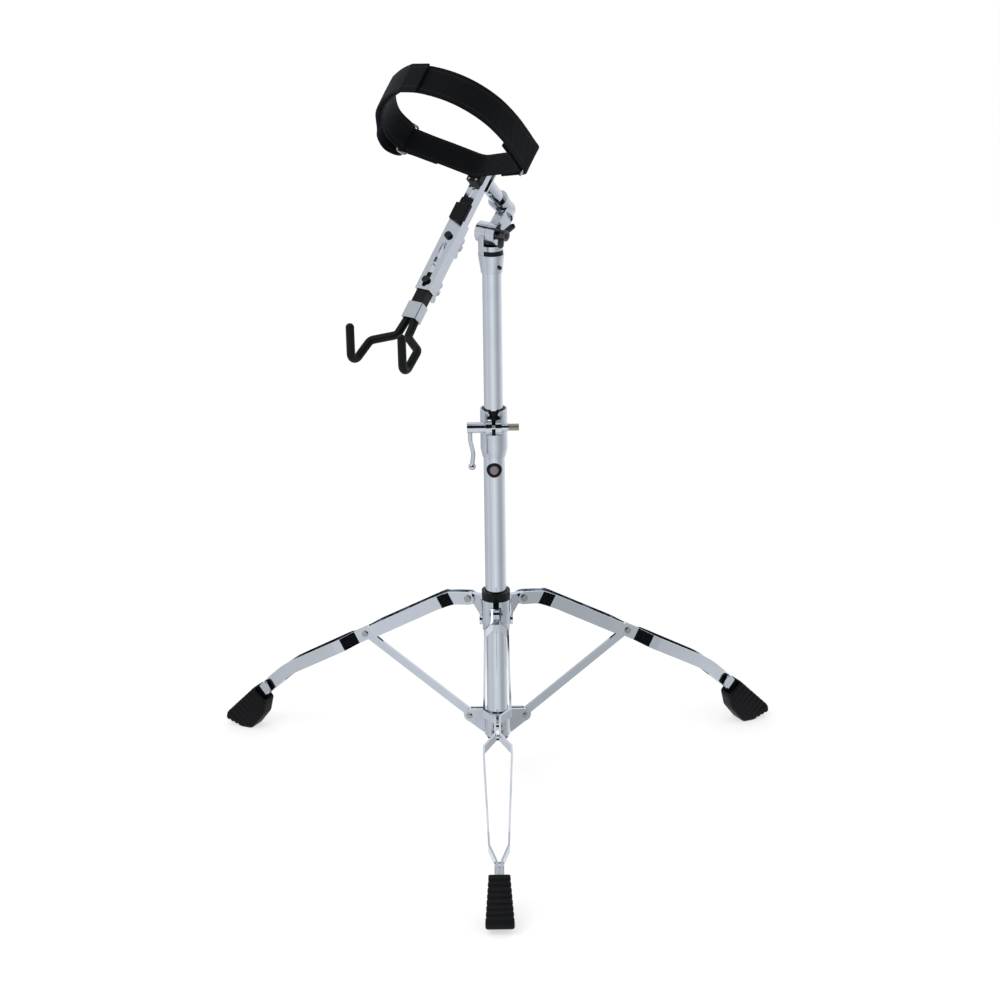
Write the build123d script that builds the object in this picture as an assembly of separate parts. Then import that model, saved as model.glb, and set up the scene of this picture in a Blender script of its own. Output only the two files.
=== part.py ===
from build123d import *
import os
from math import atan2, cos, degrees, radians, sin, tan

# Folding stand for a djembe or similar hand drum. Millimetres, +Z up.
# The origin is on the floor under the axis of the tube, and the front leg lies along -Y.

# Main tubes
BASE_RADIUS = 14.3
BASE_WALL = 1.5
BASE_BOTTOM = 74.0
BASE_TOP = 505.0
MAST_RADIUS = 12.7
MAST_WALL = 1.4
MAST_BOTTOM = 310.0
MAST_TOP = 752.0

# Tripod links: hub pivot, strut joint and bracket pivot make an isosceles triangle
PIVOT_REACH = 40.0
LINK_LENGTH = 187.0
OPEN_ANGLE = 62.5
BRACKET_PIVOT = 95.5
HUB_PIVOT = BRACKET_PIVOT + 2 * LINK_LENGTH * cos(radians(OPEN_ANGLE))
JOINT_REACH = PIVOT_REACH + LINK_LENGTH * sin(radians(OPEN_ANGLE))
JOINT_HEIGHT = BRACKET_PIVOT + LINK_LENGTH * cos(radians(OPEN_ANGLE))
LEG_ANGLES = {"front": -90.0, "right": 30.0, "left": 150.0}

# Leg bars
BAR_HEIGHT = 17.5
BAR_THICK = 2.5
BAR_SLOPE = 31.4
SHOULDER_REACH = 74.0
ANKLE_REACH = 330.0
ANKLE_SLOPE = 43.6
MERGE_START = 355.0
MERGE_END = 371.0
BAR_END = 394.0
LUG_HALF = 4.0
STRUT_HALF = 1.7
STRUT_HEIGHT = 12.0
SIDE_GAP = 0.3
RUNNING_GAP = 0.05
HUB_PIN = 3.0
STRUT_PIN = 2.5
RIVET_HEAD = 1.8

# Ears of the lower bracket, in pairs
EAR_INNER = 2.3
EAR_OUTER = 6.7
EAR_RADIUS = 9.0

# Sliding hub
HUB_RADIUS = 20.5
HUB_BORE = 17.0
HUB_TOP = HUB_PIVOT + 8
HUB_BOTTOM = HUB_PIVOT - 37
LINER_BORE = BASE_RADIUS + 0.5
SCREW_HEIGHT = HUB_PIVOT - 24
SCREW_RADIUS = 3.5

# Foot, its side view drawn as (reach, height)
FOOT_OUTLINE = [(371, 45), (390.2, 63.1), (433, 18.5), (435, 9), (411, 0), (395, 0), (376, 24)]
FOOT_WIDE = 38.0
FOOT_NARROW = 24.0
RIB_GROOVE = 1.2
SLOPE_RIBS = 7
SOLE_RIBS = 4
SLEEVE_START = 374.0
SLEEVE_END = 384.0
SLEEVE_HALF = 6.2

# Height clamp
CLAMP_BOTTOM = 479.0
CLAMP_TOP = 545.0
CLAMP_RADIUS = 18.0
BUSHING_RADIUS = 16.0
CLAMP_BOLT_Y = -24.0
CLAMP_BOLT_Z = 527.0
CLAMP_PIN = 3.0
CLAMP_SLOT = 4.8
SLOT_BOTTOM = 513.0
NUT_STEP = 19.0
NOTCH_WIDE = 15.5
NOTCH_DEEP = 13.0
BADGE_HEIGHT = 463.0
BADGE_RADIUS = 10.2

# Tilter: its axis is level, and the arm leans back from the vertical by the tilt angle
TILT_HEIGHT = 784.0
TILT_ANGLE = 47.2
TILT_BEARING = 54.6
TILT_RADIUS = 14.0
TILT_PIN = 3.5
TILT_SPLIT = -0.8
TILT_GAP = 0.3
EAR_LEFT = -17.0
RING_BOTTOM = 757.0
RING_TOP = 763.0
RING_BORE = 11.0
RING_RADIUS = 15.2
EAR_WIDE = 17.2
SHELF_LIP = 0.6
SOCKET_UP = 40.0
SOCKET_RADIUS = 12.5
POST_RADIUS = 9.5
POST_END = 60.0

# Arm, in its own frame: x across the arm, y up the arm, z out of its front
ARM_BACK = 62.0
ARM_FRONT = 75.7
ARM_TOP = 58.0
ARM_BOTTOM = -92.0
ARM_HALF = 8.7
ARM_WALL = 1.6
RAIL_TOP = -30.0
RAIL_BOTTOM = -134.0
RAIL_HALF = 11.0
RAIL_WALL = 2.0
RAIL_BACK = 61.0
RAIL_FRONT = 78.0
RAIL_BOLT_Y = -54.0
FORK_BOLT_Y = -121.0
BOLT_RADIUS = 3.0
FORK_TOP = -108.0
FORK_BLOCK_TOP = -153.0
FORK_BLOCK_BOTTOM = -176.0
HOOK_ROD = 4.0
HOOK_COAT = 5.4
HOOK_BENDS = [9, 9, 9]

# Strap
STRAP_LEVEL = 47.0
BAND_WIDE = 34.0
BAND_THICK = 3.0
BAND_FRONT = 88.5
STRAP_WIDE = 40.0
STRAP_THICK = 3.6
RING_REACH = 93.0
RING_DEPTH = 124.0
RING_WIRE = 1.6
RING_DEEP = 13.0
RING_LONG = 42.0

BEARING = radians(TILT_BEARING)
LEAN = radians(TILT_ANGLE)
TILT_AXIS = Vector(sin(BEARING), -cos(BEARING), 0)
ARM_NORMAL = Vector(-cos(BEARING) * cos(LEAN), -sin(BEARING) * cos(LEAN), sin(LEAN))
TILT_CENTRE = Vector(0, 0, TILT_HEIGHT)
ARM_FRAME = Plane(origin=TILT_CENTRE, x_dir=TILT_AXIS, z_dir=ARM_NORMAL).location
TILTER_FRAME = Plane(origin=TILT_CENTRE, x_dir=TILT_AXIS, z_dir=(0, 0, 1)).location
UP = (Align.CENTER, Align.CENTER, Align.MIN)


def rod(radius, start, end):
    """A round bar from one point to another."""
    start = Vector(*start)
    end = Vector(*end)
    along = end - start
    return extrude(Plane(origin=start, z_dir=along) * Circle(radius), amount=along.length)


def tube(outer, inner, bottom, top):
    """An upright tube on the Z axis."""
    return rod(outer, (0, 0, bottom), (0, 0, top)) - rod(inner, (0, 0, bottom), (0, 0, top))


def block(low, high):
    """A box from its two opposite corners."""
    size = [high[i] - low[i] for i in range(3)]
    middle = [(high[i] + low[i]) / 2 for i in range(3)]
    return Pos(*middle) * Box(*size)


def ribbon(points, width):
    """A flat outline of one width along a line of points, with round ends and corners."""
    outline = Sketch()
    for (x0, y0), (x1, y1) in zip(points, points[1:]):
        run = Vector(x1 - x0, y1 - y0)
        turn = Rot(0, 0, degrees(atan2(run.Y, run.X)))
        outline += Pos((x0 + x1) / 2, (y0 + y1) / 2) * turn * SlotCenterToCenter(run.length, width)
    return outline


def upright(sketch, half_width):
    """Stands an outline drawn as (reach, height) in the XZ plane and gives it a width along Y."""
    return extrude(Plane.XZ * sketch, amount=half_width, both=True)


def bent_rod(radius, points, bends):
    """A round bar along straight runs with a bend at each inner point."""
    path = FilletPolyline(*points, radius=bends)
    section = Plane(origin=path @ 0, z_dir=path % 0) * Circle(radius)
    return sweep(section, path=path)


def around(angle, shape):
    """Turns a shape drawn on the +X side to its place around the tube."""
    return Rot(0, 0, angle) * shape


# ---------------------------------------------------------------- base tube


def base_tube():
    return tube(BASE_RADIUS, BASE_RADIUS - BASE_WALL, BASE_BOTTOM, BASE_TOP)


def base_plug():
    """Plastic plug pressed into the bottom of the base tube."""
    stem = rod(BASE_RADIUS - BASE_WALL, (0, 0, BASE_BOTTOM), (0, 0, BASE_BOTTOM + 12))
    return stem + rod(BASE_RADIUS, (0, 0, BASE_BOTTOM - 3), (0, 0, BASE_BOTTOM))


def lower_bracket():
    """Sleeve on the base tube with three pairs of ears that hold the struts."""
    sleeve = rod(BASE_RADIUS + 3.2, (0, 0, BASE_BOTTOM + 2), (0, 0, BASE_BOTTOM + 38))
    ear = Polygon(
        (BASE_RADIUS, BRACKET_PIVOT + 15),
        (PIVOT_REACH, BRACKET_PIVOT + EAR_RADIUS),
        (PIVOT_REACH, BRACKET_PIVOT - EAR_RADIUS),
        (BASE_RADIUS + 4, BASE_BOTTOM + 2),
        (BASE_RADIUS, BASE_BOTTOM + 2),
        align=None,
    )
    ear += Pos(PIVOT_REACH, BRACKET_PIVOT) * Circle(EAR_RADIUS)
    gap = block((BASE_RADIUS + 3.2, -EAR_INNER, 0), (80, EAR_INNER, 200))
    body = sleeve
    for angle in LEG_ANGLES.values():
        body += around(angle, upright(ear, EAR_OUTER))
    for angle in LEG_ANGLES.values():
        body -= around(angle, gap)
    return body - rod(BASE_RADIUS, (0, 0, 0), (0, 0, 200))


def bracket_rivets():
    """The domed rivet heads on both faces of every pair of ears."""
    heads = []
    for angle in LEG_ANGLES.values():
        for side in (-1, 1):
            foot = (PIVOT_REACH, side * EAR_OUTER, BRACKET_PIVOT)
            top = (PIVOT_REACH, side * (EAR_OUTER + RIVET_HEAD), BRACKET_PIVOT)
            heads.append(around(angle, rod(4.2, foot, top)))
    return Compound(children=heads)


def badge():
    """Thin round badge on the front of the base tube, plain."""
    shell = tube(BASE_RADIUS + 0.35, BASE_RADIUS, BADGE_HEIGHT - 12, BADGE_HEIGHT + 12)
    return shell & rod(BADGE_RADIUS, (0, 0, BADGE_HEIGHT), (0, -30, BADGE_HEIGHT))


# ---------------------------------------------------------------- sliding hub


def hub():
    """Casting that slides on the base tube and carries the three legs."""
    body = rod(HUB_RADIUS, (0, 0, HUB_BOTTOM + 12), (0, 0, HUB_TOP))
    body += rod(HUB_RADIUS - 2, (0, 0, HUB_BOTTOM), (0, 0, HUB_BOTTOM + 12))
    lug = ribbon([(HUB_RADIUS - 6, HUB_PIVOT), (PIVOT_REACH, HUB_PIVOT)], 15)
    web = Polygon(
        (HUB_BORE, HUB_PIVOT - 5),
        (PIVOT_REACH - 6, HUB_PIVOT - 5),
        (HUB_RADIUS, HUB_PIVOT - 24),
        (HUB_BORE, HUB_PIVOT - 24),
        align=None,
    )
    for angle in LEG_ANGLES.values():
        body += around(angle, upright(lug + web, LUG_HALF))
    for angle in (0, 90, 180):
        body += around(angle, rod(7, (HUB_BORE, 0, SCREW_HEIGHT), (22.4, 0, SCREW_HEIGHT)))
    body -= rod(HUB_BORE, (0, 0, HUB_BOTTOM), (0, 0, HUB_TOP))
    body -= rod(SCREW_RADIUS + RUNNING_GAP, (0, 0, SCREW_HEIGHT), (0, 40, SCREW_HEIGHT))
    for angle in LEG_ANGLES.values():
        hole = rod(HUB_PIN + RUNNING_GAP, (PIVOT_REACH, -20, HUB_PIVOT), (PIVOT_REACH, 20, HUB_PIVOT))
        body -= around(angle, hole)
    return body


def hub_bushing():
    """Black plastic liner of the hub, with its collar on top."""
    liner = tube(HUB_BORE, LINER_BORE, HUB_BOTTOM + 2, HUB_TOP)
    liner += tube(19.0, LINER_BORE, HUB_TOP, HUB_TOP + 11)
    return liner - rod(SCREW_RADIUS + 0.3, (0, 0, SCREW_HEIGHT), (0, 40, SCREW_HEIGHT))


def wings(hub_radius, hub_height, span, wing_rise):
    """Round hub on the Z axis with two upswept wings, for nuts and wing screws."""
    body = extrude(Circle(hub_radius), amount=hub_height)
    for side in (-1, 1):
        root = (side * 3, hub_height * 0.45)
        tip = (side * (span - 4), hub_height * 0.6 + wing_rise)
        blade = ribbon([root, tip], 8)
        body += extrude(Plane.XZ * blade, amount=1.4, both=True)
    return body


def hub_wing_screw():
    """Locks the hub on the tube, at the back."""
    head = Plane(origin=(0, 27, SCREW_HEIGHT), x_dir=(1, 0, 0), z_dir=(0, 1, 0)).location
    body = head * wings(6.5, 10, 17, 3)
    return body + rod(SCREW_RADIUS, (0, LINER_BORE + 0.2, SCREW_HEIGHT), (0, 30, SCREW_HEIGHT))


# ---------------------------------------------------------------- legs


def bar_height(reach):
    """Height of the middle of a leg bar at a distance from the tube's axis."""
    ankle = JOINT_HEIGHT - (ANKLE_REACH - JOINT_REACH) * tan(radians(BAR_SLOPE))
    if reach > ANKLE_REACH:
        return ankle - (reach - ANKLE_REACH) * tan(radians(ANKLE_SLOPE))
    return JOINT_HEIGHT - (reach - JOINT_REACH) * tan(radians(BAR_SLOPE))


def bar_middle(reach):
    """Height of the middle of a leg bar, with its flatter start at the hub."""
    if reach > SHOULDER_REACH:
        return bar_height(reach)
    share = (reach - PIVOT_REACH) / (SHOULDER_REACH - PIVOT_REACH)
    return HUB_PIVOT + (bar_height(SHOULDER_REACH) - HUB_PIVOT) * share


def eased(points, length):
    """A line whose inner corners are curves that start and end at a length from the corner."""
    line = [points[0]]
    for before, corner, after in zip(points, points[1:], points[2:]):
        corner = Vector(*corner)
        start = corner + (Vector(*before) - corner).normalized() * length
        end = corner + (Vector(*after) - corner).normalized() * length
        for share in (0, 0.25, 0.5, 0.75, 1):
            near = start + (corner - start) * share
            far = corner + (end - corner) * share
            spot = near + (far - near) * share
            line.append((spot.X, spot.Y))
    return line + [points[-1]]


def leg_pins():
    """The hub rivet and the strut rivet of one leg, with their heads."""
    hub_side = LUG_HALF + SIDE_GAP + BAR_THICK
    joint_side = STRUT_HALF + SIDE_GAP + BAR_THICK
    pins = []
    for reach, height, radius, side in (
        (PIVOT_REACH, HUB_PIVOT, HUB_PIN, hub_side),
        (JOINT_REACH, JOINT_HEIGHT, STRUT_PIN, joint_side),
    ):
        tip = side + RIVET_HEAD
        pin = rod(radius, (reach, -tip, height), (reach, tip, height))
        for sign in (-1, 1):
            face = (reach, sign * side, height)
            pin += rod(radius + RIVET_HEAD, face, (reach, sign * tip, height))
        pins.append(pin)
    return pins


def leg_bar(side):
    """One of the two flat bars of a leg. It jogs out from the hub, in at the strut and out again."""
    at_hub = LUG_HALF + SIDE_GAP + BAR_THICK / 2
    at_strut = STRUT_HALF + SIDE_GAP + BAR_THICK / 2
    plan = [
        (PIVOT_REACH - 14, at_hub),
        (SHOULDER_REACH - 7, at_hub),
        (SHOULDER_REACH + 6, 15.2),
        (JOINT_REACH - 18, 17.2),
        (JOINT_REACH - 9, at_strut),
        (JOINT_REACH + 14, at_strut),
        (JOINT_REACH + 30, 17.6),
        (JOINT_REACH + 42, 18.0),
        (MERGE_START, 12.6),
        (MERGE_END, 3.0),
        (BAR_END + 5, 3.0),
    ]
    turns = (PIVOT_REACH, SHOULDER_REACH, ANKLE_REACH, BAR_END)
    profile = [(reach, bar_middle(reach)) for reach in turns]
    slope = radians(BAR_SLOPE)
    run = (cos(slope), 0, -sin(slope))
    rise = (sin(slope), 0, cos(slope))
    folds = []
    for reach, offset in plan:
        forward = (reach - JOINT_REACH) * cos(slope) - (bar_middle(reach) - JOINT_HEIGHT) * sin(slope)
        folds.append((forward, side * offset))
    bench = Plane(origin=(JOINT_REACH, 0, JOINT_HEIGHT), x_dir=run, z_dir=rise)
    wall = extrude(bench * ribbon(folds, BAR_THICK), amount=90, both=True)
    bar = upright(ribbon(eased(profile, 16), BAR_HEIGHT), 40) & wall
    for pin in leg_pins():
        bar -= pin
    return bar


def tip_sleeve():
    """Short chrome sleeve that holds the two bars together above the foot."""
    start = (SLEEVE_START, bar_height(SLEEVE_START))
    end = (SLEEVE_END, bar_height(SLEEVE_END))
    outline = ribbon([start, end], BAR_HEIGHT - 2)
    return upright(outline, SLEEVE_HALF) - leg_bar(1) - leg_bar(-1)


def foot():
    """Rubber foot: a wedge with a flat tread under its heel and ribs on its slope and its sole."""
    slope_top, slope_end, sole_toe, sole_heel = FOOT_OUTLINE[1:5]
    rim_reach = FOOT_OUTLINE[0][0]
    plan = Polygon(
        (rim_reach, -FOOT_NARROW / 2),
        (rim_reach, FOOT_NARROW / 2),
        (sole_toe[0], FOOT_WIDE / 2),
        (sole_toe[0], -FOOT_WIDE / 2),
        align=None,
    )
    side = Polygon(*FOOT_OUTLINE, align=None)
    body = upright(side, FOOT_WIDE / 2) & extrude(plan, amount=120, dir=(0, 0, 1))
    for first, last, ribs in ((slope_top, slope_end, SLOPE_RIBS), (sole_toe, sole_heel, SOLE_RIBS)):
        for rib in range(1, ribs):
            reach = first[0] + (last[0] - first[0]) * rib / ribs
            height = first[1] + (last[1] - first[1]) * rib / ribs
            body -= rod(RIB_GROOVE, (reach, -FOOT_WIDE, height), (reach, FOOT_WIDE, height))
    above = (ANKLE_REACH, bar_height(ANKLE_REACH))
    socket = ribbon([above, (BAR_END, bar_height(BAR_END))], BAR_HEIGHT)
    return body - upright(socket, SLEEVE_HALF)


def strut():
    """Flat bar from the leg to the lower bracket."""
    ends = [(JOINT_REACH, JOINT_HEIGHT), (PIVOT_REACH, BRACKET_PIVOT)]
    bar = upright(ribbon(ends, STRUT_HEIGHT), STRUT_HALF)
    hole = rod(STRUT_PIN + RUNNING_GAP, (JOINT_REACH, -9, JOINT_HEIGHT), (JOINT_REACH, 9, JOINT_HEIGHT))
    return bar - hole


# ---------------------------------------------------------------- height clamp


def clamp_body():
    """Split casting on top of the base tube, with a V notch in front and ears for the bolt."""
    body = Pos(0, 0, CLAMP_BOTTOM) * Cone(BASE_RADIUS + 1.4, CLAMP_RADIUS, 11, align=UP)
    body += rod(CLAMP_RADIUS, (0, 0, CLAMP_BOTTOM + 11), (0, 0, CLAMP_TOP))
    ear = ribbon([(-12, CLAMP_BOLT_Z), (CLAMP_BOLT_Y, CLAMP_BOLT_Z)], 22)
    body += extrude(Plane.YZ * ear, amount=10.5, both=True)
    body -= rod(BASE_RADIUS, (0, 0, CLAMP_BOTTOM), (0, 0, BASE_TOP))
    body -= rod(BUSHING_RADIUS, (0, 0, BASE_TOP), (0, 0, CLAMP_TOP))
    body -= block((-CLAMP_SLOT / 2, -60, SLOT_BOTTOM), (CLAMP_SLOT / 2, -5, CLAMP_TOP))
    notch = Polygon(
        (-NOTCH_WIDE / 2, CLAMP_TOP + 1),
        (NOTCH_WIDE / 2, CLAMP_TOP + 1),
        (0, CLAMP_TOP - NOTCH_DEEP),
        align=None,
    )
    body -= extrude(Plane.XZ * notch, amount=60, dir=(0, -1, 0))
    pin = rod(CLAMP_PIN, (-20, CLAMP_BOLT_Y, CLAMP_BOLT_Z), (20, CLAMP_BOLT_Y, CLAMP_BOLT_Z))
    return body - pin


def clamp_bushing():
    """Nylon bushing in which the upper tube slides and turns."""
    bore = MAST_RADIUS + RUNNING_GAP
    return tube(BUSHING_RADIUS - RUNNING_GAP, bore, BASE_TOP + 0.3, CLAMP_TOP - 0.8)


def clamp_bolt():
    """Cross bolt of the clamp with the collar on its right end."""
    y, z = CLAMP_BOLT_Y, CLAMP_BOLT_Z
    body = rod(CLAMP_PIN, (-20, y, z), (33, y, z))
    return body + rod(5.5, (10.5, y, z), (NUT_STEP, y, z))


def clamp_nut():
    """Long round nut on the right end of the clamp bolt."""
    y, z = CLAMP_BOLT_Y, CLAMP_BOLT_Z
    return rod(4.6, (NUT_STEP, y, z), (33, y, z)) - clamp_bolt()


def clamp_lever():
    """Cam lever on the left end of the clamp bolt, hanging down when locked."""
    y, z = CLAMP_BOLT_Y, CLAMP_BOLT_Z
    body = rod(7.5, (-35, y, z), (-10.8, y, z))
    path = [(-31, y, z), (-31, y - 2, z - 17), (-27, y - 3, z - 35), (-29, y - 1, z - 53)]
    body += bent_rod(3.0, path, [12, 25])
    body += Pos(-29, y - 1, z - 54) * Sphere(5.0)
    return body - rod(CLAMP_PIN + RUNNING_GAP, (-20.3, y, z), (-10, y, z))


# ---------------------------------------------------------------- mast and tilter


def upper_tube():
    return tube(MAST_RADIUS, MAST_RADIUS - MAST_WALL, MAST_BOTTOM, MAST_TOP)


def tilter_base():
    """Casting on the upper tube that ends in the left half of the tilting joint."""
    sole = Plane(origin=(0, 0, MAST_TOP - 20), x_dir=TILT_AXIS, z_dir=(0, 0, 1)) * Circle(14.2)
    shelf = Plane(origin=(0, 0, RING_BOTTOM), x_dir=TILT_AXIS, z_dir=(0, 0, 1))
    shelf *= Pos(TILT_SPLIT, 0) * Ellipse(EAR_WIDE + SHELF_LIP, RING_RADIUS + 2 * SHELF_LIP)
    body = loft([sole, shelf])
    body += rod(RING_BORE, (0, 0, RING_BOTTOM), (0, 0, RING_TOP))
    body += rod(RING_RADIUS, (0, 0, RING_TOP), (0, 0, TILT_HEIGHT - TILT_RADIUS - 0.6))
    joint = rod(TILT_RADIUS, (EAR_LEFT, 0, 0), (TILT_SPLIT - TILT_GAP, 0, 0))
    column = extrude(Ellipse(EAR_WIDE, RING_RADIUS + SHELF_LIP), amount=TILT_HEIGHT - RING_BOTTOM)
    column = Pos(TILT_SPLIT, 0, RING_BOTTOM - TILT_HEIGHT) * column
    joint += column & block((EAR_LEFT, -20, -40), (TILT_SPLIT - TILT_GAP, 20, 0))
    body += TILTER_FRAME * joint
    body -= TILTER_FRAME * rod(TILT_PIN, (-40, 0, 0), (40, 0, 0))
    return body - rod(MAST_RADIUS, (0, 0, MAST_TOP - 21), (0, 0, MAST_TOP))


def tilter_ring():
    """Black ring in the groove of the tilter, open on the side of the casting's ear."""
    return tube(RING_RADIUS, RING_BORE, RING_BOTTOM, RING_TOP) - tilter_base()


def tilter_set_screw():
    """Small screw that fixes the tilter on the tube."""
    spot = around(-50, rod(2.6, (14.6, 0, 741), (17.5, 0, 741)))
    return spot - tilter_base()


def tilter_head():
    """Right half of the tilting joint, a rounded elbow and the socket for the post tube."""
    body = rod(TILT_RADIUS, (TILT_SPLIT, 0, 0), (13, 0, 0))
    neck = ribbon([(0, 0), (30, -1)], 23)
    body += extrude(Plane.YZ * neck, amount=12.2, dir=(1, 0, 0))
    body += extrude(Plane.YZ * neck, amount=-TILT_SPLIT, dir=(-1, 0, 0))
    elbow = (0, SOCKET_UP, -5)
    body += rod(12, (5.2, 26.5, -2), elbow)
    body += Pos(*elbow) * Sphere(13)
    body += rod(SOCKET_RADIUS, elbow, (0, SOCKET_UP, 18))
    body += rod(SOCKET_RADIUS + 0.9, (0, SOCKET_UP, 15), (0, SOCKET_UP, 20))
    body -= rod(POST_RADIUS, (0, SOCKET_UP, 0), (0, SOCKET_UP, 20))
    body -= rod(TILT_PIN + RUNNING_GAP, (-20, 0, 0), (20, 0, 0))
    return ARM_FRAME * body


def tilter_bolt():
    body = rod(TILT_PIN, (-20, 0, 0), (25, 0, 0)) + rod(6.5, (-21, 0, 0), (-17, 0, 0))
    return TILTER_FRAME * body


def tilter_wing_nut():
    seat = Plane(origin=(13.3, 0, 0), x_dir=(0, 1, 0), z_dir=(1, 0, 0)).location
    body = seat * Rot(0, 0, 35) * wings(7, 11, 20, 4)
    body -= rod(TILT_PIN + RUNNING_GAP, (0, 0, 0), (40, 0, 0))
    return TILTER_FRAME * body


# ---------------------------------------------------------------- arm


def post_tube():
    """Short tube from the tilter to the arm."""
    start = (0, SOCKET_UP, 0)
    end = (0, SOCKET_UP, POST_END)
    return ARM_FRAME * (rod(POST_RADIUS, start, end) - rod(POST_RADIUS - BASE_WALL, start, end))


def arm_plate():
    """Plate welded between the post tube and the arm."""
    return ARM_FRAME * block((-RAIL_HALF, SOCKET_UP - 15, POST_END), (RAIL_HALF, SOCKET_UP + 15, ARM_BACK))


def channel(half, wall, back, front, bottom, top):
    """A U channel that runs along Y, open at the back."""
    body = block((-half, bottom, back), (half, top, front))
    return body - block((wall - half, bottom, back), (half - wall, top, front - wall))


def slot_cut(bottom, top, width):
    """A long slot along Y, cut through in Z."""
    return extrude(ribbon([(0, bottom), (0, top)], width), amount=120)


def arm_channel():
    """Inner channel of the arm, fixed to the post."""
    body = channel(ARM_HALF, ARM_WALL, ARM_BACK, ARM_FRONT, ARM_BOTTOM, ARM_TOP)
    body -= slot_cut(ARM_BOTTOM + 9, RAIL_BOLT_Y, 7)
    body -= slot_cut(8, 19, 4)
    return ARM_FRAME * body


def arm_pad():
    """Stepped rubber pad that the drum leans on."""
    body = block((-8, -6, ARM_FRONT), (8, 3, ARM_FRONT + 3.5))
    bumper = block((-RAIL_HALF, -29.5, ARM_FRONT), (RAIL_HALF, -6, ARM_FRONT + 7))
    return ARM_FRAME * (body + fillet(bumper.edges().group_by(Axis.Z)[-1], 2.5))


def strap_plate():
    """Plastic block between the arm and the rear band of the strap."""
    body = block((-10, 24, ARM_FRONT), (10, ARM_TOP, BAND_FRONT - BAND_THICK))
    return ARM_FRAME * fillet(body.edges().filter_by(Axis.Z), 3)


def strap_rivets():
    """Two small rivets on the block below the band."""
    face = BAND_FRONT - BAND_THICK
    heads = [ARM_FRAME * rod(1.8, (x, 27, face), (x, 27, face + 1.2)) for x in (-5.5, 5.5)]
    return Compound(children=heads)


# ---------------------------------------------------------------- fork


def sliding_rail():
    """Outer channel that slides on the arm and carries the fork."""
    body = channel(RAIL_HALF, RAIL_WALL, RAIL_BACK, RAIL_FRONT, RAIL_BOTTOM, RAIL_TOP)
    body -= rod(BOLT_RADIUS, (0, RAIL_BOLT_Y, 60), (0, RAIL_BOLT_Y, 90))
    body -= slot_cut(FORK_BOLT_Y - 6, FORK_BOLT_Y + 54, 2 * BOLT_RADIUS + 0.8)
    return ARM_FRAME * body


def cross_bolt(y, head_seat, tip):
    """Round-headed bolt through the arm, from front to back."""
    shank = rod(BOLT_RADIUS, (0, y, tip), (0, y, head_seat))
    return shank + rod(4.9, (0, y, head_seat), (0, y, head_seat + 3.2))


def cross_nut(y, seat):
    """Wing nut behind the arm, with a long hub that reaches in between the flanges."""
    back = Plane(origin=(0, y, 58), x_dir=(0, 1, 0), z_dir=(0, 0, -1)).location
    body = back * wings(5.5, 11, 15, 4) + rod(5.5, (0, y, 50), (0, y, seat))
    return ARM_FRAME * (body - rod(BOLT_RADIUS + RUNNING_GAP, (0, y, 0), (0, y, 90)))


def fork_stem():
    """Black bar that slides inside the rail."""
    body = block((-ARM_HALF, FORK_BLOCK_TOP, ARM_BACK + 1), (ARM_HALF, FORK_TOP, ARM_FRONT))
    return ARM_FRAME * (body - rod(BOLT_RADIUS, (0, FORK_BOLT_Y, 40), (0, FORK_BOLT_Y, 90)))


def hook_path(side, start):
    """Centre line of one hook: down, out, down again and then up in front."""
    return [
        (side * 6.4, start, 69),
        (side * 8.5, -200, 70),
        (side * 37, -218, 77),
        (side * 40, -261, 84),
        (side * 40, -227, 122),
    ]


def hook_rod(side):
    return bent_rod(HOOK_ROD, hook_path(side, -160), HOOK_BENDS)


def hook_coat(side):
    """Rubber coating of a hook, closed at its tip."""
    path = hook_path(side, FORK_BLOCK_BOTTOM - 0.5)
    coat = bent_rod(HOOK_COAT, path, HOOK_BENDS) + Pos(*path[-1]) * Sphere(HOOK_COAT)
    return coat - hook_rod(side)


def fork_block():
    """Chrome block at the foot of the fork that holds both hooks."""
    body = block((-RAIL_HALF, FORK_BLOCK_BOTTOM, RAIL_BACK), (RAIL_HALF, FORK_BLOCK_TOP, RAIL_FRONT))
    body = fillet(body.edges().filter_by(Axis.Y), 2)
    return ARM_FRAME * (body - hook_rod(-1) - hook_rod(1))


# ---------------------------------------------------------------- strap


def level_band(line, thickness, width):
    """A band that stands on edge along a line drawn as (x, z) in the arm's frame."""
    section = Plane(origin=line @ 0, x_dir=(0, 1, 0), z_dir=line % 0) * Rectangle(width, thickness)
    return Pos(0, STRAP_LEVEL, 0) * sweep(section, path=line)


def rear_band():
    """The band across the front of the arm, one wing to each ring."""
    middle = BAND_FRONT - BAND_THICK / 2
    outline = Sketch()
    for side in (-1, 1):
        start = (side * (RING_REACH - 9), RING_DEPTH - 6 - BAND_THICK)
        corners = [(0, middle), start] if side > 0 else [start, (0, middle)]
        outline += ribbon(corners, BAND_THICK)
    body = extrude(Plane.XZ * outline, amount=BAND_WIDE / 2, both=True)
    return ARM_FRAME * (Pos(0, STRAP_LEVEL, 0) * body)


def strap_ring(side):
    """Rectangular wire ring that joins the band and the strap on one side."""
    outer = RectangleRounded(RING_DEEP, RING_LONG, 4)
    path = outer.wire()
    section = Plane(origin=path @ 0, z_dir=path % 0) * Circle(RING_WIRE)
    ring = sweep(section, path=path)
    place = Pos(side * RING_REACH, STRAP_LEVEL, RING_DEPTH) * Rot(0, -side * 50, 0)
    return ARM_FRAME * (place * ring)


def strap():
    """The loop that goes round the drum, one layer, from ring to ring."""
    line = Spline(
        (-99, 0, 139),
        (-103, 0, 165),
        (-80, 0, 223),
        (-24, 0, 271),
        (15, 0, 281),
        (58, 0, 270),
        (90, 0, 238),
        (99, 0, 188),
        (96, 0, 139),
    )
    return ARM_FRAME * level_band(line, STRAP_THICK, STRAP_WIDE)


# ---------------------------------------------------------------- all nodes

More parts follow.
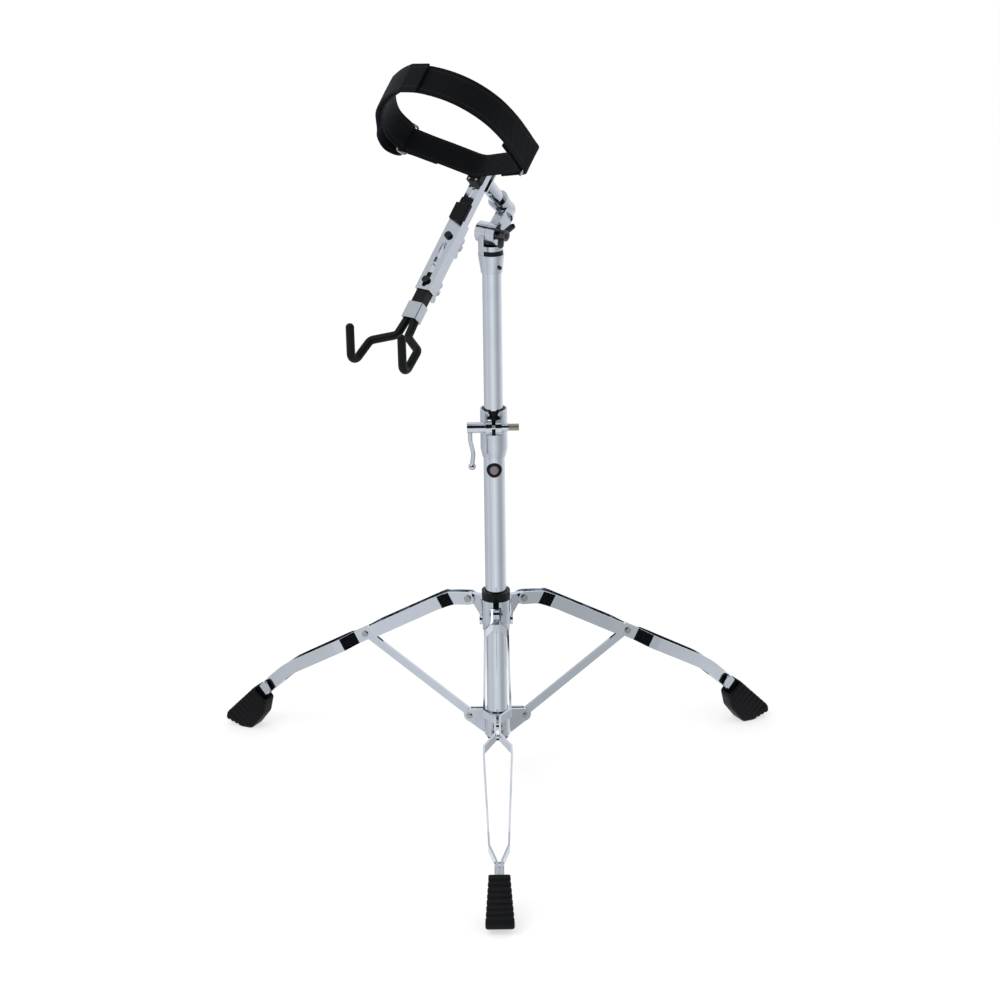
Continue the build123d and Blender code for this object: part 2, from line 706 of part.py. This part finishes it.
nodes = {
    "base_tube": base_tube(),
    "base_tube_plug": base_plug(),
    "lower_bracket": lower_bracket(),
    "bracket_rivets": bracket_rivets(),
    "badge": badge(),
    "hub": hub(),
    "hub_bushing": hub_bushing(),
    "hub_wing_screw": hub_wing_screw(),
    "clamp_body": clamp_body(),
    "clamp_bushing": clamp_bushing(),
    "clamp_bolt": clamp_bolt(),
    "clamp_nut": clamp_nut(),
    "clamp_lever": clamp_lever(),
    "upper_tube": upper_tube(),
    "tilter_base": tilter_base(),
    "tilter_ring": tilter_ring(),
    "tilter_set_screw": tilter_set_screw(),
    "tilter_head": tilter_head(),
    "tilter_bolt": tilter_bolt(),
    "tilter_wing_nut": tilter_wing_nut(),
    "post_tube": post_tube(),
    "arm_plate": arm_plate(),
    "arm_channel": arm_channel(),
    "arm_pad": arm_pad(),
    "strap_plate": strap_plate(),
    "strap_rivets": strap_rivets(),
    "sliding_rail": sliding_rail(),
    "rail_bolt": ARM_FRAME * cross_bolt(RAIL_BOLT_Y, RAIL_FRONT, 45),
    "rail_wing_nut": cross_nut(RAIL_BOLT_Y, ARM_FRONT - ARM_WALL - 0.8),
    "fork_stem": fork_stem(),
    "fork_bolt": ARM_FRAME * cross_bolt(FORK_BOLT_Y, RAIL_FRONT + SIDE_GAP, 45),
    "fork_wing_nut": cross_nut(FORK_BOLT_Y, ARM_BACK + 0.7),
    "fork_block": fork_block(),
    "rear_band": rear_band(),
    "strap": strap(),
}

for name, angle in LEG_ANGLES.items():
    nodes[f"leg_{name}_bar_a"] = around(angle, leg_bar(1))
    nodes[f"leg_{name}_bar_b"] = around(angle, leg_bar(-1))
    nodes[f"leg_{name}_rivets"] = Compound(children=[around(angle, pin) for pin in leg_pins()])
    nodes[f"leg_{name}_sleeve"] = around(angle, tip_sleeve())
    nodes[f"foot_{name}"] = around(angle, foot())
    nodes[f"strut_{name}"] = around(angle, strut())

for name, side in (("left", -1), ("right", 1)):
    nodes[f"hook_rod_{name}"] = ARM_FRAME * hook_rod(side)
    nodes[f"hook_coat_{name}"] = ARM_FRAME * hook_coat(side)
    nodes[f"strap_ring_{name}"] = strap_ring(side)

for name, shape in nodes.items():
    export_step(shape, f"parts/{name}.step")
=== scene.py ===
from math import cos, pi, radians, sin

import bmesh
import bpy
from mathutils import Matrix, Vector


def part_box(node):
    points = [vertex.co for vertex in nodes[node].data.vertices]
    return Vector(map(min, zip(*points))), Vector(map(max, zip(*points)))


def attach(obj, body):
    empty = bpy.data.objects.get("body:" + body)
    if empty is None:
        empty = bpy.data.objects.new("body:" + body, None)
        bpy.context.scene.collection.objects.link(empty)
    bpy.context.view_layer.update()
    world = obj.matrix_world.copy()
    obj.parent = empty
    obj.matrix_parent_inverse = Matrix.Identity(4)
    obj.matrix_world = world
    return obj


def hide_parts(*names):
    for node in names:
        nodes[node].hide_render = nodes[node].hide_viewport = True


# Folding chrome stand for a djembe. The file follows the stand as it is put together:
# tripod, tubes, clamp, tilter, arm, fork and strap.
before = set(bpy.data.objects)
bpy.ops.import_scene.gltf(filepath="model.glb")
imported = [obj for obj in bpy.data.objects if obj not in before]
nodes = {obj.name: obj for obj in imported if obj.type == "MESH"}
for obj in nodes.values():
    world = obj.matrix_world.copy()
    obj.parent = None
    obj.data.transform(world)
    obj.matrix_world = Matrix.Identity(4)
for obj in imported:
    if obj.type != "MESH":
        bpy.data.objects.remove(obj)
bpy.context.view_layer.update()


# ---------------------------------------------------------------- studio
# Plain white sweep with soft light from everywhere. The room behind the camera is dark, which the
# tilted faces of chrome parts mirror as black, and grey boards give the tubes their soft bands.
def linear(colour):
    """The scene's colour of an sRGB hex value."""
    parts = [int(colour[i:i + 2], 16) / 255 for i in (1, 3, 5)]
    return [p / 12.92 if p <= 0.04045 else ((p + 0.055) / 1.055) ** 2.4 for p in parts] + [1.0]


def add(tree, kind, settings=None, links=None):
    """Adds a node. Settings name its properties or inputs, links name inputs and their sources."""
    node = tree.nodes.new(kind)
    for key, value in (settings or {}).items():
        if isinstance(key, int) or key in node.inputs:
            node.inputs[key].default_value = value
        else:
            setattr(node, key, value)
    for key, source in (links or {}).items():
        tree.links.new(source, node.inputs[key])
    return node


camera = bpy.data.objects.new("camera", bpy.data.cameras.new("camera"))
bpy.context.scene.collection.objects.link(camera)
bpy.context.scene.camera = camera
camera.data.lens = 125.03
camera.data.sensor_width = 36.0
camera.matrix_world = (
    Matrix.Translation((0.00257, -4.280, 2.0929))
    @ Matrix.Rotation(radians(-0.06), 4, "Z")
    @ Matrix.Rotation(radians(68.6), 4, "X")
    @ Matrix.Rotation(radians(-0.72), 4, "Z")
)
bpy.context.scene.view_settings.view_transform = "Standard"

world = bpy.data.worlds.new("white studio")
bpy.context.scene.world = world
world.use_nodes = True
tree = world.node_tree
tree.nodes.clear()
# How bright the room looks to a polished surface, by the bearing it mirrors: 0 is towards the
# camera, plus is to the right. Wide grey boards and white gaps take turns.
room = [
    (-180, 1.06), (-152, 0.98), (-138, 0.58), (-120, 0.74), (-92, 0.78), (-74, 0.90), (-50, 0.80),
    (-22, 0.98), (0, 1.12), (22, 0.90), (44, 0.66), (60, 0.57), (78, 0.64), (104, 0.86),
    (126, 1.06), (180, 1.06),
]
room_tint = (0.975, 0.99, 1.015)


def round_the_room(tree, along_x, along_y):
    """The room's brightness for a bearing given by two outputs."""
    back = add(tree, "ShaderNodeMath", {"operation": "MULTIPLY", 1: -1.0}, {0: along_y})
    bearing = add(tree, "ShaderNodeMath", {"operation": "ARCTAN2"}, {0: along_x, 1: back.outputs[0]})
    turn = add(tree, "ShaderNodeMapRange", {"From Min": -pi, "From Max": pi}, {"Value": bearing.outputs[0]})
    ramp = add(tree, "ShaderNodeValToRGB", links={0: turn.outputs[0]})
    ramp.color_ramp.interpolation = "EASE"
    stops = ramp.color_ramp.elements
    while len(stops) < len(room):
        stops.new(0.5)
    for stop, (angle, bright) in zip(stops, room):
        stop.position = (angle + 180) / 360
        stop.color = [bright * share for share in room_tint] + [1]
    return ramp.outputs[0]


way = add(tree, "ShaderNodeTexCoord")
axes = add(tree, "ShaderNodeSeparateXYZ", links={0: way.outputs["Generated"]})
walls = round_the_room(tree, axes.outputs["X"], axes.outputs["Y"])
span = {"From Min": -0.34, "From Max": -0.56}
towards = add(tree, "ShaderNodeMapRange", span, {"Value": axes.outputs["Y"]})
above = add(tree, "ShaderNodeMapRange", {"From Min": 0.05, "From Max": 0.12}, {"Value": axes.outputs["Z"]})
dark = add(tree, "ShaderNodeMath", {"operation": "MULTIPLY"}, {0: towards.outputs[0], 1: above.outputs[0]})
night = add(tree, "ShaderNodeMix", {"data_type": "RGBA"}, {"Factor": dark.outputs[0], 6: walls})
night.inputs[7].default_value = linear("#121316")
ray = add(tree, "ShaderNodeLightPath")
seen = {"Factor": ray.outputs["Is Glossy Ray"], 7: night.outputs[2]}
paint = add(tree, "ShaderNodeMix", {"data_type": "RGBA"}, seen)
paint.inputs[6].default_value = linear("#FFFFFF")
light = add(tree, "ShaderNodeBackground", {"Strength": 1.0}, {"Color": paint.outputs[2]})
add(tree, "ShaderNodeOutputWorld", links={"Surface": light.outputs[0]})

for name, half in (("floor", 16.0), ("floor_boards", 5.0)):
    shape = bmesh.new()
    bmesh.ops.create_grid(shape, x_segments=1, y_segments=1, size=half)
    sheet = bpy.data.objects.new(name, bpy.data.meshes.new(name))
    shape.to_mesh(sheet.data)
    shape.free()
    bpy.context.scene.collection.objects.link(sheet)
    finish = bpy.data.materials.new(name)
    finish.use_nodes = True
    tree = finish.node_tree
    tree.nodes.clear()
    if name == "floor":
        paper = add(tree, "ShaderNodeBsdfDiffuse", {"Color": linear("#FFFFFF")})
        glow = add(tree, "ShaderNodeEmission", {"Color": linear("#FFFFFF"), "Strength": 1.0})
        both = add(tree, "ShaderNodeMixShader", {"Fac": 0.6}, {1: paper.outputs[0], 2: glow.outputs[0]})
        add(tree, "ShaderNodeOutputMaterial", links={"Surface": both.outputs[0]})
    else:
        # The boards lie on the paper, hidden from the camera; only polished surfaces mirror them.
        sheet.data.transform(Matrix.Translation((0, 0, 0.0004)))
        place = add(tree, "ShaderNodeTexCoord")
        axes = add(tree, "ShaderNodeSeparateXYZ", links={0: place.outputs["Object"]})
        board = round_the_room(tree, axes.outputs["X"], axes.outputs["Y"])
        glow = add(tree, "ShaderNodeEmission", {"Strength": 1.0}, {"Color": board})
        add(tree, "ShaderNodeOutputMaterial", links={"Surface": glow.outputs[0]})
        sheet.visible_camera = False
        sheet.visible_diffuse = False
        sheet.visible_shadow = False
    sheet.data.materials.append(finish)

lamp = bpy.data.lights.new("soft box", "AREA")
lamp.shape = "RECTANGLE"
lamp.size = 1.6
lamp.size_y = 1.2
lamp.energy = 20
soft_box = bpy.data.objects.new("soft box", lamp)
bpy.context.scene.collection.objects.link(soft_box)
soft_box.matrix_world = (
    Matrix.Translation((-1.2, -1.4, 2.6))
    @ Vector((-1.2, -1.4, 1.8)).to_track_quat("Z", "Y").to_matrix().to_4x4()
)


# ---------------------------------------------------------------- base tube and lower bracket
# Welded steel tube with a formed steel bracket at its foot, both nickel-chrome plated: a bright,
# slightly blue mirror. A moulded plug closes the tube, and domed rivets hold the struts.
def metal(name, colour, roughness, ripple, dirt, wave=260.0):
    """A metal whose roughness wanders a little and whose surface has a faint ripple."""
    material = bpy.data.materials.new(name)
    material.use_nodes = True
    tree = material.node_tree
    tree.nodes.clear()
    place = add(tree, "ShaderNodeTexCoord")
    spot = {"Vector": place.outputs["Object"]}
    cloud = add(tree, "ShaderNodeTexNoise", {"Scale": 45.0, "Detail": 4.0}, spot)
    grain = add(tree, "ShaderNodeTexNoise", {"Scale": wave, "Detail": 2.0}, spot)
    gloss = add(
        tree,
        "ShaderNodeMapRange",
        {"From Min": 0.3, "From Max": 0.7, "To Min": roughness * 0.75, "To Max": roughness * 1.3},
        {"Value": cloud.outputs["Fac"]},
    )
    tint = add(tree, "ShaderNodeMix", {"data_type": "RGBA"}, {"Factor": cloud.outputs["Fac"]})
    tint.inputs[6].default_value = linear(colour)
    tint.inputs[7].default_value = linear(dirt)
    hill = {"Strength": ripple, "Distance": 0.05 / wave}
    bump = add(tree, "ShaderNodeBump", hill, {"Height": grain.outputs["Fac"]})
    skin = add(
        tree,
        "ShaderNodeBsdfPrincipled",
        {"Metallic": 1.0},
        {"Base Color": tint.outputs[2], "Roughness": gloss.outputs[0], "Normal": bump.outputs[0]},
    )
    add(tree, "ShaderNodeOutputMaterial", links={"Surface": skin.outputs[0]})
    return material


def dress(material, *names):
    """Gives CAD nodes their finish."""
    for name in names:
        for slot in nodes[name].material_slots:
            slot.material = material


def moulded(name, colour, roughness, grain_mm, depth, patch):
    """A plastic or rubber with a fine moulded grain and a slightly cloudy colour."""
    material = bpy.data.materials.new(name)
    material.use_nodes = True
    tree = material.node_tree
    tree.nodes.clear()
    place = add(tree, "ShaderNodeTexCoord")
    spot = {"Vector": place.outputs["Object"]}
    grain = add(tree, "ShaderNodeTexNoise", {"Scale": 1000 / grain_mm, "Detail": 2.0}, spot)
    cloud = add(tree, "ShaderNodeTexNoise", {"Scale": 60.0, "Detail": 3.0}, spot)
    tint = add(tree, "ShaderNodeMix", {"data_type": "RGBA"}, {"Factor": cloud.outputs["Fac"]})
    tint.inputs[6].default_value = linear(colour)
    tint.inputs[7].default_value = linear(patch)
    gloss = add(
        tree,
        "ShaderNodeMapRange",
        {"To Min": roughness - 0.08, "To Max": roughness + 0.08},
        {"Value": cloud.outputs["Fac"]},
    )
    hill = {"Strength": 0.5, "Distance": depth}
    bump = add(tree, "ShaderNodeBump", hill, {"Height": grain.outputs["Fac"]})
    skin = add(
        tree,
        "ShaderNodeBsdfPrincipled",
        {"IOR": 1.5, "Specular IOR Level": 0.16},
        {"Base Color": tint.outputs[2], "Roughness": gloss.outputs[0], "Normal": bump.outputs[0]},
    )
    add(tree, "ShaderNodeOutputMaterial", links={"Surface": skin.outputs[0]})
    return material


# Polished bright chrome on steel: near mirror, edges go white.
chrome = metal("chrome plated steel tube", "#CDD3DB", 0.06, 0.02, "#C3C9D0")
# Chrome on a zinc casting: softer, with a faint orange peel.
casting = metal("chrome plated zinc casting", "#CBD0D7", 0.09, 0.5, "#B4B9C1", 110.0)
# Injection moulded black polyamide: satin, fine sparked grain.
polyamide = moulded("moulded black polyamide", "#08090B", 0.36, 0.5, 0.00005, "#0E0F12")
dress(chrome, "base_tube")
dress(casting, "lower_bracket")
dress(polyamide, "base_tube_plug")


def piece(name, shape, body, material):
    """Turns a bmesh in place into a finished piece on its body."""
    bmesh.ops.remove_doubles(shape, verts=shape.verts, dist=1e-6)
    bmesh.ops.recalc_face_normals(shape, faces=shape.faces)
    for face in shape.faces:
        face.smooth = True
    mesh = bpy.data.meshes.new(name)
    shape.to_mesh(mesh)
    shape.free()
    made = bpy.data.objects.new(name, mesh)
    bpy.context.scene.collection.objects.link(made)
    mesh.materials.append(material)
    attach(made, body)
    return made


def dome(shape, radius, rise, place):
    """A domed rivet head with a small upset rim, its flat side on the local XY plane."""
    outline = [(1, 0), (1, 0.25), (0.86, 0.62), (0.55, 0.9), (0, 1)]
    last = [shape.verts.new((x * radius, 0, z * rise)) for x, z in outline]
    edges = [shape.edges.new(pair) for pair in zip(last, last[1:])]
    spun = bmesh.ops.spin(
        shape, geom=last + edges, cent=(0, 0, 0), axis=(0, 0, 1), angle=2 * pi, steps=28, use_merge=True
    )
    spun_verts = {v for v in shape.verts if v.is_valid and not v.tag}
    for vert in spun_verts:
        vert.co = place @ vert.co
        vert.tag = True
    return spun


def facing(origin, direction):
    """A place whose local Z runs along a direction."""
    return Matrix.Translation(origin) @ Vector(direction).to_track_quat("Z", "Y").to_matrix().to_4x4()


mm = 0.001
leg_bearings = {"front": -90.0, "right": 30.0, "left": 150.0}
pivot_reach = 40.0
bracket_pivot = 95.5
rivet_steel = metal("nickel plated steel rivet", "#B4B6B8", 0.22, 0.08, "#8F9296")
shape = bmesh.new()
for bearing in leg_bearings.values():
    turn = Matrix.Rotation(radians(bearing), 4, "Z")
    for side in (-1, 1):
        spot = facing(Vector((pivot_reach, side * 6.7, bracket_pivot)) * mm, (0, side, 0))
        dome(shape, 4.4 * mm, 2.2 * mm, turn @ spot)
heads = piece("bracket_rivet_heads", shape, "base", rivet_steel)
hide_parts("bracket_rivets")


# ---------------------------------------------------------------- sliding hub
# Zinc casting on a black moulded liner, slid along the base tube to fold the tripod and locked by
# a cast wing screw at the back.
dress(casting, "hub", "hub_wing_screw")
dress(polyamide, "hub_bushing")


# ---------------------------------------------------------------- legs and struts
# Each leg is two pressed flat steel bars, chrome plated, joined by domed steel rivets and a short
# sleeve above the foot. The struts are single flat bars.
for name in leg_bearings:
    dress(chrome, f"leg_{name}_bar_a", f"leg_{name}_bar_b", f"strut_{name}")
    dress(casting, f"leg_{name}_sleeve")
    dress(rivet_steel, f"leg_{name}_rivets")


# ---------------------------------------------------------------- feet
# Solid moulded rubber pushed over the bar ends, with ribs across the slope and the sole.
# Matt black with a fine grain; each rib edge catches a line of light.
rubber = moulded("moulded black rubber", "#060709", 0.58, 0.7, 0.00012, "#0D0E11")
foot_outline = [(371, 45), (390.6, 63.5), (433.5, 19), (435, 9), (411, 0), (395, 0), (376, 24)]
rim_way = Vector((-0.686, 0, 0.728))
heel_half, toe_half_gain, heel_end, foot_run = 12.0, 7.0, 371, 64
groove_depth = 1.0
side_groove = 0.8
slope_top, slope_end, sole_toe, sole_heel = (Vector((x, 0, z)) * mm for x, z in foot_outline[1:5])
for name, bearing in leg_bearings.items():
    shape = bmesh.new()
    outline = [shape.verts.new((x * mm, -0.5, z * mm)) for x, z in foot_outline]
    side = shape.faces.new(outline)
    pulled = bmesh.ops.extrude_face_region(shape, geom=[side])
    for vert in pulled["geom"]:
        if isinstance(vert, bmesh.types.BMVert):
            vert.co.y = 0.5
    bmesh.ops.recalc_face_normals(shape, faces=shape.faces)
    for vert in shape.verts:
        half = heel_half + (vert.co.x / mm - heel_end) * toe_half_gain / foot_run
        vert.co.y *= 2 * half * mm
    rim = max(shape.faces, key=lambda f: f.normal.dot(rim_way))
    soft = [e for e in shape.edges if e not in list(rim.edges)]
    bmesh.ops.bevel(shape, geom=soft, offset=3.4 * mm, affect="EDGES", segments=3, profile=0.5, material=-1)
    shape.faces.ensure_lookup_table()
    rims = [f for f in shape.faces if f.normal.dot(rim_way) > 0.97]
    bmesh.ops.inset_region(shape, faces=rims, thickness=2.6 * mm, depth=0.0)
    bmesh.ops.inset_region(shape, faces=rims, thickness=0.8 * mm, depth=-5.0 * mm)
    for top, end, count, reach in ((slope_top, slope_end, 8, 9.0), (sole_toe, sole_heel, 4, 3.5)):
        along = (end - top).normalized()
        out = Vector((-along.z, 0, along.x))
        if out.z * (1 if top is slope_top else -1) < 0:
            out = -out
        for rib in range(1, count):
            spot = top.lerp(end, rib / count)
            for step in (-1.5, -0.6, 0.6, 1.5):
                bmesh.ops.bisect_plane(
                    shape,
                    geom=shape.verts[:] + shape.edges[:] + shape.faces[:],
                    plane_co=spot + along * step * mm,
                    plane_no=along,
                )
            for vert in shape.verts:
                off = vert.co - spot
                if abs(off.dot(along)) < 0.8 * mm and abs(off.dot(out)) < reach * mm:
                    side_pull = 1.0 if abs(vert.co.y) > 12.0 * mm else 0.0
                    vert.co -= out * groove_depth * mm * (1 - abs(off.dot(out)) / (reach * mm))
                    vert.co.y -= side_pull * side_groove * mm * (1 if vert.co.y > 0 else -1)
    for vert in shape.verts:
        vert.co.z = max(vert.co.z, 0.0)
    shape.transform(Matrix.Rotation(radians(bearing), 4, "Z"))
    foot = piece(f"ribbed_foot_{name}", shape, f"leg_{name}", rubber)
    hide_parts(f"foot_{name}")


# ---------------------------------------------------------------- height clamp
# Split zinc casting round a black bushing, pinched by a cross bolt with a cam lever. The round
# nut on the right is plain zinc plated steel, a little yellow beside the chrome.
zinc = metal("passivated zinc plated steel", "#A3A294", 0.34, 0.2, "#8B8A7C")
black_steel = metal("black oxide steel", "#3A3B40", 0.28, 0.15, "#2A2B2F")
dress(casting, "clamp_body", "clamp_lever", "clamp_bolt")
dress(polyamide, "clamp_bushing")
dress(zinc, "clamp_nut")


# ---------------------------------------------------------------- badge
# Small pressed disc wrapped on the tube: gloss black enamel rim, brushed inner disc, no mark.
enamel = moulded("gloss black enamel", "#050608", 0.16, 3.0, 0.00001, "#090A0D")
disc = metal("brushed aluminium disc", "#8C8386", 0.3, 0.2, "#756D71")
dress(enamel, "badge")
badge_low, badge_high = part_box("badge")
badge_height = (badge_low.z + badge_high.z) / 2
badge_wrap = -badge_low.y
disc_gap = 0.02 * mm
shape = bmesh.new()
bmesh.ops.create_circle(shape, cap_ends=True, radius=5.9 * mm, segments=40)
for width, rise in ((0.5, 0.06), (0.95, 0.0), (0.95, 0.0), (0.95, 0.0), (0.95, 0.0), (0.95, 0.0)):
    middle = [f for f in shape.faces if len(f.verts) > 4]
    bmesh.ops.inset_individual(shape, faces=middle, thickness=width * mm, depth=rise * mm)
for vert in shape.verts:
    round_tube = vert.co.x / badge_wrap
    out = badge_wrap + vert.co.z + disc_gap
    vert.co = Vector((out * sin(round_tube), -out * cos(round_tube), badge_height + vert.co.y))
piece("badge_disc", shape, "base", disc)


# ---------------------------------------------------------------- upper tube and tilter
# Bright chrome tube; the tilter is two zinc castings that meet face to face, with a black ring in
# the groove below, a dark wing nut and a small set screw.
dark_casting = metal("black chrome wing nut", "#5B5C62", 0.2, 0.1, "#3C3D42")
dress(chrome, "upper_tube")
dress(casting, "tilter_base", "tilter_head")
dress(polyamide, "tilter_ring")
dress(black_steel, "tilter_set_screw", "tilter_bolt")
dress(dark_casting, "tilter_wing_nut")


# ---------------------------------------------------------------- arm and sliding rail
# Folded chrome steel channels, one sliding on the other, held by black round-headed bolts with
# cast wing nuts behind. A stepped rubber bumper and a black block carry the drum and the strap.
dress(chrome, "post_tube", "arm_plate", "arm_channel", "sliding_rail")
dress(black_steel, "rail_bolt")
dress(casting, "rail_wing_nut", "fork_wing_nut")
dress(rubber, "arm_pad")
dress(polyamide, "strap_plate")
dress(rivet_steel, "strap_rivets")


# ---------------------------------------------------------------- fork
# Black slide bar, chrome end block and two bent steel hooks dipped in black rubber.
dipped = moulded("dipped black rubber coating", "#040506", 0.5, 1.2, 0.00008, "#090A0C")
dress(polyamide, "fork_stem")
dress(black_steel, "fork_bolt")
dress(casting, "fork_block")
dress(rivet_steel, "hook_rod_left", "hook_rod_right")
dress(dipped, "hook_coat_left", "hook_coat_right")


# ---------------------------------------------------------------- strap
# Black webbing: a rear band fixed to the arm, two bent wire rings, and the loop for the
# drum, whose left end goes through its ring and folds back outside on itself.
tilt_height = 784.0
bearing = radians(54.6)
lean = radians(47.2)
across = Vector((sin(bearing), -cos(bearing), 0))
front = Vector((-cos(bearing) * cos(lean), -sin(bearing) * cos(lean), sin(lean)))
up_arm = front.cross(across)
arm_place = Matrix.Translation((0, 0, tilt_height * mm)) @ Matrix(
    (
        (across.x, up_arm.x, front.x, 0),
        (across.y, up_arm.y, front.y, 0),
        (across.z, up_arm.z, front.z, 0),
        (0, 0, 0, 1),
    )
)
dress(rivet_steel, "strap_ring_left", "strap_ring_right")

webbing = bpy.data.materials.new("black polypropylene webbing")
webbing.use_nodes = True
tree = webbing.node_tree
tree.nodes.clear()
cloth_map = add(tree, "ShaderNodeUVMap", {"uv_map": "cloth"})
# The spacing of the woven ribs is a guess.
turned = add(tree, "ShaderNodeMapping", {"Rotation": (0, 0, radians(28))}, {"Vector": cloth_map.outputs[0]})
rib_spacing = 2.2
ribs = {"Scale": 1000 / rib_spacing / 20, "Distortion": 0.6, "Detail": 1.0}
twill = add(tree, "ShaderNodeTexWave", ribs, {"Vector": turned.outputs[0]})
fuzz = add(tree, "ShaderNodeTexNoise", {"Scale": 900.0, "Detail": 3.0}, {"Vector": cloth_map.outputs[0]})
wear = add(tree, "ShaderNodeTexNoise", {"Scale": 22.0, "Detail": 4.0}, {"Vector": cloth_map.outputs[0]})
tint = add(tree, "ShaderNodeMix", {"data_type": "RGBA"}, {"Factor": wear.outputs["Fac"]})
tint.inputs[6].default_value = linear("#020304")
tint.inputs[7].default_value = linear("#07080B")
weave = add(tree, "ShaderNodeMath", {"operation": "ADD"}, {0: twill.outputs["Fac"], 1: fuzz.outputs["Fac"]})
# One row of stitches runs along each side at a fixed distance from the middle; its place is a guess.
cloth_axes = add(tree, "ShaderNodeSeparateXYZ", links={0: cloth_map.outputs[0]})
edge = add(tree, "ShaderNodeMath", {"operation": "ABSOLUTE"}, {0: cloth_axes.outputs["Y"]})
row_place = 0.0142
half_row = 0.0007
half_stitch = 0.002
near_row = {"operation": "COMPARE", 1: row_place, 2: half_row}
row = add(tree, "ShaderNodeMath", near_row, {0: edge.outputs[0]})
pace = {"operation": "PINGPONG", 1: half_stitch}
beat = add(tree, "ShaderNodeMath", pace, {0: cloth_axes.outputs["X"]})
stitch = add(tree, "ShaderNodeMath", {"operation": "GREATER_THAN", 1: 0.0006}, {0: beat.outputs[0]})
seam = add(tree, "ShaderNodeMath", {"operation": "MULTIPLY"}, {0: row.outputs[0], 1: stitch.outputs[0]})
raised = {0: seam.outputs[0], 2: weave.outputs[0]}
height = add(tree, "ShaderNodeMath", {"operation": "MULTIPLY_ADD", 1: 1.6}, raised)
thread = add(tree, "ShaderNodeMix", {"data_type": "RGBA"}, {"Factor": seam.outputs[0], 6: tint.outputs[2]})
thread.inputs[7].default_value = linear("#15171C")
bump = add(tree, "ShaderNodeBump", {"Strength": 0.5, "Distance": 0.0003}, {"Height": height.outputs[0]})
skin = add(
    tree,
    "ShaderNodeBsdfPrincipled",
    {
        "Roughness": 0.85,
        "IOR": 1.45,
        "Specular IOR Level": 0.18,
        "Sheen Weight": 0.05,
        "Sheen Roughness": 0.5,
    },
    {"Base Color": thread.outputs[2], "Normal": bump.outputs[0]},
)
skin.inputs["Sheen Tint"].default_value = linear("#8FA0C8")
add(tree, "ShaderNodeOutputMaterial", links={"Surface": skin.outputs[0]})


def smooth_line(points, steps):
    """Even points along a smooth curve through the given (x, z) points in millimetres."""
    curve = bpy.data.curves.new("line", "CURVE")
    curve.dimensions = "3D"
    spline = curve.splines.new("NURBS")
    spline.points.add(len(points) - 1)
    for point, (x, z) in zip(spline.points, points):
        point.co = (x, 0, z, 1)
    spline.order_u = 3
    spline.use_endpoint_u = True
    spline.resolution_u = 24
    holder = bpy.data.objects.new("line", curve)
    mesh = bpy.data.meshes.new_from_object(holder)
    line = [v.co.copy() for v in mesh.vertices]
    bpy.data.objects.remove(holder)
    lengths = [0.0]
    for start, end in zip(line, line[1:]):
        lengths.append(lengths[-1] + (end - start).length)
    even = []
    k = 0
    for step in range(steps + 1):
        want = lengths[-1] * step / steps
        while k < len(line) - 2 and lengths[k + 1] < want:
            k += 1
        share = (want - lengths[k]) / max(lengths[k + 1] - lengths[k], 1e-9)
        even.append(line[k].lerp(line[k + 1], share))
    return even, lengths[-1]


def band(name, points, width, thickness, level, stations, crown, body="arm"):
    """A webbing band on edge along a line, with rolled edges. Returns the finished piece."""
    line, length = smooth_line(points, stations)
    shape = bmesh.new()
    rows = 8
    bmesh.ops.create_grid(shape, x_segments=stations, y_segments=rows, size=0.5)
    shape.verts.ensure_lookup_table()
    map_layer = shape.loops.layers.uv.new("cloth")
    station = {}
    for vert in shape.verts:
        station[vert] = (round((vert.co.x + 0.5) * stations), vert.co.y)
    for face in shape.faces:
        for loop in face.loops:
            k, y = station[loop.vert]
            loop[map_layer].uv = (length * k / stations * mm, y * width * mm)
    for vert in shape.verts:
        k, y = station[vert]
        before = line[max(k - 1, 0)]
        after = line[min(k + 1, stations)]
        along = (after - before).normalized()
        out = Vector((-along.z, 0, along.x))
        bulge = crown * (1 - (2 * y) ** 2)
        vert.co = line[k] + out * bulge + Vector((0, level + y * width, 0))
    for vert in shape.verts:
        vert.co = arm_place @ (vert.co * mm)
    made = piece(name, shape, body, webbing)
    thick = made.modifiers.new("thickness", "SOLIDIFY")
    thick.thickness = thickness * mm
    thick.offset = 0
    round_edge = made.modifiers.new("rolled edge", "BEVEL")
    round_edge.width = thickness * 0.42 * mm
    round_edge.segments = 3
    return made, length


loop_line = [
    (94, 186), (94.5, 160), (93.2, 137), (93.0, 125.4), (98.0, 123.6), (102.2, 127.5), (101.5, 140),
    (102.5, 165), (102, 200), (92, 241), (62, 273), (18, 284), (-15, 276.5), (-15, 276.5), (-34, 262),
    (-57, 239), (-57, 239), (-76, 214), (-91, 186), (-99, 160), (-97, 144), (-93.0, 133),
    (-92.6, 122), (-99, 113.0), (-110, 112.0), (-120, 118), (-122, 130), (-117, 152), (-106, 170),
    (-98, 188), (-86, 214), (-63, 242.5), (-63, 242.5), (-37, 265.5), (-14, 280), (-14, 280), (15, 287),
]
loop, loop_length = band("drum_loop", loop_line, 40.0, 2.4, 47.0, 300, 0.3)
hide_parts("strap")
half_line = [
    (50, 101.8), (64, 106.8), (78, 112.6), (88.5, 115.6), (93.6, 117.6), (91.8, 123.0), (86.5, 121.4),
    (78, 117.6), (64, 110.8), (40, 102.0), (9, 88.6), (4, 86.9),
]
back_line = [(-x, z) for x, z in half_line] + half_line[::-1]
back, back_length = band("back_band", back_line, 34.0, 2.2, 47.0, 200, 0.1)
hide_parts("rear_band")
